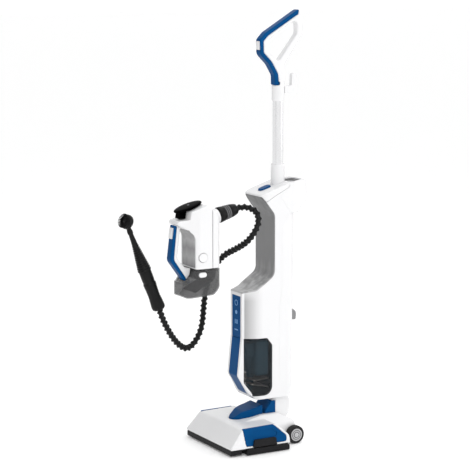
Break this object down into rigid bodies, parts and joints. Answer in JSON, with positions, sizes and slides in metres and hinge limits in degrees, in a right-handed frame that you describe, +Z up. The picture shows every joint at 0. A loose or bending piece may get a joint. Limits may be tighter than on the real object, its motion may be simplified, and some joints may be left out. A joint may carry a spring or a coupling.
{
  "type": "steam mop",
  "caption": "Upright steam mop with a swivelling floor head, telescopic loop handle, pull-out dust bin and a detachable handheld steam cleaner with hose and lance.",
  "frame": {"origin": "on the floor under the floor head, on the underside of the cleaning pad, midway between the head's sides and between its front edge and the back of its deck", "axes": "+Z up along the telescopic tube, -Y towards the front of the floor head and the handheld unit, +X towards the side with the handheld's power button"},
  "size_m": [0.2682, 0.53, 1.1785],
  "materials": {
    "white_shell": "gloss",
    "blue_cover": "gloss",
    "grey_liner": "satin",
    "dark_frame": "satin",
    "display_black": "gloss",
    "tyre_rubber": "matte",
    "smoke_clear": "gloss",
    "pad_cloth": "woven microfibre",
    "tube_aluminium": "satin anodised",
    "steel": "brushed",
    "filter_fabric": "pleated",
    "board_green": "satin",
    "icon_light": "satin",
    "cyclone_grey": "satin",
    "hose_rubber": "satin",
    "lance_black": "satin"
  },
  "bodies": {
    "floor_head": {"deck_cover": "white_shell", "chassis": "dark_frame", "side_panels": "blue_cover", "nose_cover": "blue_cover", "suction_nozzle": "dark_frame", "brush_strip": "dark_frame", "head_duct": "dark_frame", "hinge_brackets": "dark_frame", "hinge_pins": "steel", "wheel_axles": "steel", "pad_frame": "dark_frame", "cleaning_pad": "pad_cloth"},
    "left_wheel": {"wheel_left": "tyre_rubber"},
    "right_wheel": {"wheel_right": "tyre_rubber"},
    "left_clip": {"clip_left": "dark_frame"},
    "right_clip": {"clip_right": "dark_frame"},
    "neck": {"neck_frame": "white_shell", "neck_cover": "blue_cover", "swivel_ring": "steel"},
    "main_body": {"front_casing": "white_shell", "rear_shell": "white_shell", "niche_liner": "grey_liner", "top_cap": "white_shell", "rear_insert": "grey_liner", "bin_bay": "grey_liner", "swivel_socket": "dark_frame", "air_duct": "dark_frame", "suction_motor": "steel", "exhaust_filter": "filter_fabric", "control_board": "board_green", "control_panel": "blue_cover", "panel_icons": "icon_light", "tube_guide": "white_shell", "lower_cord_hook": "grey_liner", "cable_gland": "dark_frame", "body_screws": "steel"},
    "tube_release": {"release_button": "blue_cover"},
    "dust_bin": {"bin_shell": "smoke_clear", "bin_front": "white_shell", "bin_strip": "blue_cover", "bin_cyclone": "cyclone_grey"},
    "handle": {"telescopic_tube": "tube_aluminium", "handle_grip": "white_shell", "handle_strip": "blue_cover"},
    "handle_switch": {"steam_switch": "white_shell"},
    "cord_hook": {"upper_cord_hook": "white_shell"},
    "handheld": {"hand_front_shell": "white_shell", "hand_rear_cover": "white_shell", "hand_recess": "grey_liner", "hand_grip": "white_shell", "hand_strip": "blue_cover", "display_unit": "display_black", "boiler": "steel"},
    "tank": {"water_tank": "smoke_clear"},
    "latch": {"tank_latch": "white_shell"},
    "power_button": {"side_button": "white_shell"},
    "steam_button": {"thumb_button": "white_shell"},
    "hose_and_lance": {"steam_hose": "hose_rubber", "hose_connector": "hose_rubber", "steam_lance": "lance_black"}
  },
  "joints": [
    {"name": "left_wheel_spin", "type": "hinge", "parent": "floor_head", "child": "left_wheel", "pos_m": [-0.08, 0.135, 0.025], "axis": [1, 0, 0], "continuous": true},
    {"name": "right_wheel_spin", "type": "hinge", "parent": "floor_head", "child": "right_wheel", "pos_m": [0.08, 0.135, 0.025], "axis": [1, 0, 0], "continuous": true},
    {"name": "left_clip_tilt", "type": "hinge", "parent": "floor_head", "child": "left_clip", "pos_m": [-0.1314, 0.011, 0.0233], "axis": [0, -1, 0], "range_deg": [0, 18], "stiffness_Nm_per_rad": 0.6},
    {"name": "right_clip_tilt", "type": "hinge", "parent": "floor_head", "child": "right_clip", "pos_m": [0.1314, 0.011, 0.0233], "axis": [0, 1, 0], "range_deg": [0, 18], "stiffness_Nm_per_rad": 0.6},
    {"name": "neck_tilt", "type": "hinge", "parent": "floor_head", "child": "neck", "pos_m": [0, 0.1, 0.058], "axis": [-1, 0, 0], "range_deg": [0, 65]},
    {"name": "body_swivel", "type": "hinge", "parent": "neck", "child": "main_body", "pos_m": [0, 0.112, 0.13], "axis": [0, 0, 1], "range_deg": [-60, 60]},
    {"name": "release_press", "type": "slide", "parent": "main_body", "child": "tube_release", "axis": [0, 0.309, -0.9511], "range_m": [0, 0.003], "stiffness_N_per_m": 400},
    {"name": "bin_slide", "type": "slide", "parent": "main_body", "child": "dust_bin", "axis": [0, -1, 0], "range_m": [0, 0.11]},
    {"name": "handle_slide", "type": "slide", "parent": "main_body", "child": "handle", "axis": [0, 0, 1], "range_m": [-0.165, 0]},
    {"name": "switch_press", "type": "slide", "parent": "handle", "child": "handle_switch", "axis": [0, 1, 0], "range_m": [0, 0.0025], "stiffness_N_per_m": 300},
    {"name": "cord_hook_turn", "type": "hinge", "parent": "handle", "child": "cord_hook", "pos_m": [0, 0.1426, 0.963], "axis": [0, 1, 0], "range_deg": [0, 180]},
    {"name": "dock_slide", "type": "slide", "parent": "main_body", "child": "handheld", "axis": [0, 0.9966, 0.0819], "range_m": [0, 0.122]},
    {"name": "tank_slide", "type": "slide", "parent": "handheld", "child": "tank", "axis": [0, 0, 1], "range_m": [-0.07, 0]},
    {"name": "latch_press", "type": "slide", "parent": "tank", "child": "latch", "axis": [-1, 0, 0], "range_m": [0, 0.0015], "stiffness_N_per_m": 300},
    {"name": "power_press", "type": "slide", "parent": "handheld", "child": "power_button", "axis": [-1, 0, 0], "range_m": [0, 0.0015], "stiffness_N_per_m": 300},
    {"name": "steam_press", "type": "slide", "parent": "handheld", "child": "steam_button", "axis": [0, 1, 0], "range_m": [0, 0.0025], "stiffness_N_per_m": 300},
    {"name": "hose_aside", "type": "slide", "parent": "handheld", "child": "hose_and_lance", "axis": [-1, 0, 0], "range_m": [0, 0.6]}
  ],
  "couplings": [
    {"joint": "hose_aside", "follows": "dock_slide", "ratio": 4}
  ]
}
